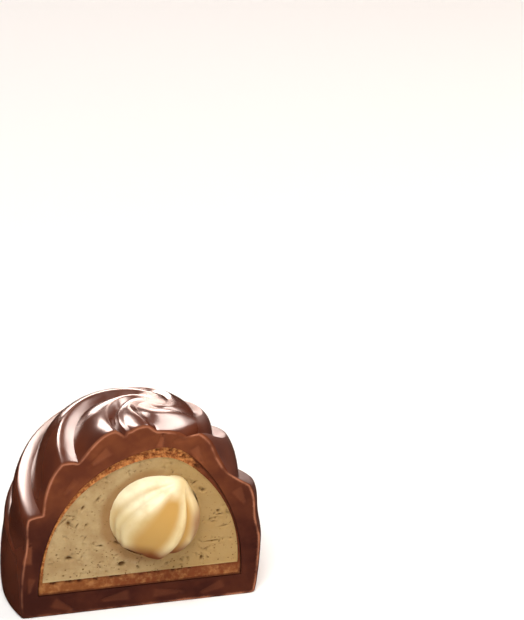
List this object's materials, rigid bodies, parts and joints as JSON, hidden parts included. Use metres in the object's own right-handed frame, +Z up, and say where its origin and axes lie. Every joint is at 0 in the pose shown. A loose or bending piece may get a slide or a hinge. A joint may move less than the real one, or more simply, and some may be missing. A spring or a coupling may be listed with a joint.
{
  "type": "filled chocolate praline",
  "caption": "Swirled dome chocolate praline cut open in front, showing its chocolate shell, thin wafer layer, pale cream filling and a whole hazelnut",
  "frame": {"origin": "middle of the whole piece's bounding box in X and Y, at the flat base that it stands on", "axes": "+Z up; the cut face looks along -Y; X runs along the cut face, to the right as seen from in front"},
  "size_m": [0.0326, 0.0266, 0.0259],
  "materials": {
    "chocolate": "glossy milk chocolate outside, matte where it is cut",
    "wafer": "porous baked wafer, matte",
    "cream": "soft nut cream with fine pits, matte",
    "nut": "smooth blanched hazelnut kernel, slightly waxy"
  },
  "bodies": {
    "root": {"chocolate_shell": "chocolate", "wafer_layer": "wafer", "cream_filling": "cream", "hazelnut": "nut"}
  },
  "joints": []
}
